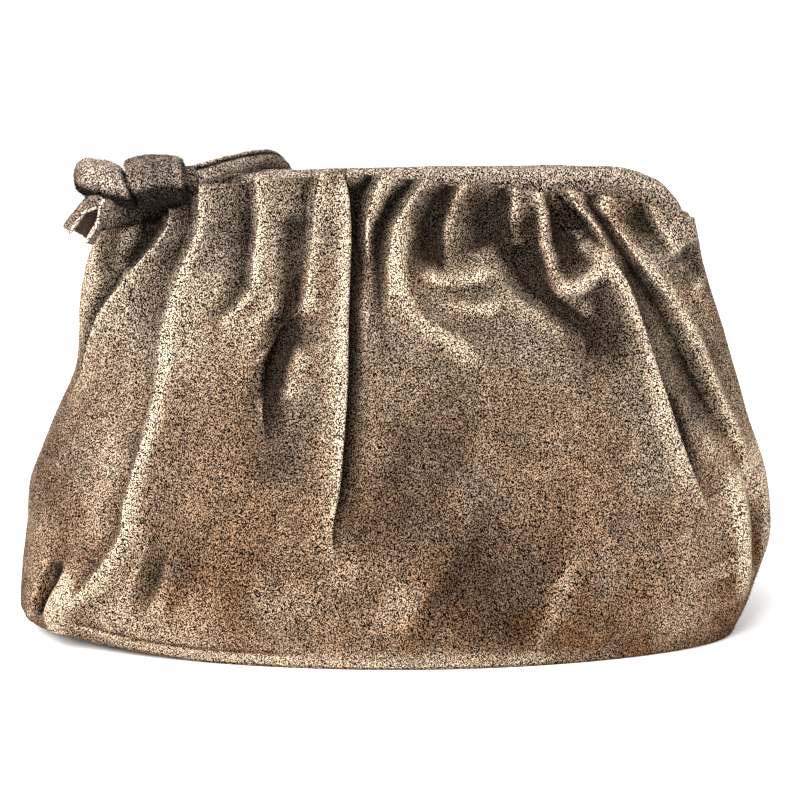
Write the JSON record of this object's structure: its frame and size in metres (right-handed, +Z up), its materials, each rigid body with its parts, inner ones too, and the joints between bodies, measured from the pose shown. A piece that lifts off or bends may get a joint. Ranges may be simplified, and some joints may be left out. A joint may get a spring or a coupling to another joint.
{
  "type": "framed pouch bag",
  "caption": "Suede pouch bag: pleated body gathered under a rounded covered frame, flat base, and a rolled wrist strap knotted at one end.",
  "frame": {"origin": "centre of the flat base, on the surface that the bag stands on", "axes": "+X along the frame to the right of someone facing the bag, -Y out of its front, +Z up"},
  "size_m": [0.3326, 0.1508, 0.2105],
  "materials": {
    "suede_body": "napped suede, taupe brown",
    "suede_frame": "smooth napped suede, greyer",
    "suede_strap": "napped suede",
    "cut_leather": "bare inner face, dark brown"
  },
  "bodies": {
    "root": {"front_panel": "suede_body", "back_panel": "suede_body", "bottom_panel": "suede_body", "frame_front": "suede_frame", "frame_back": "suede_frame", "strap": "suede_strap", "knot": "suede_strap", "tail": "cut_leather"}
  },
  "joints": []
}
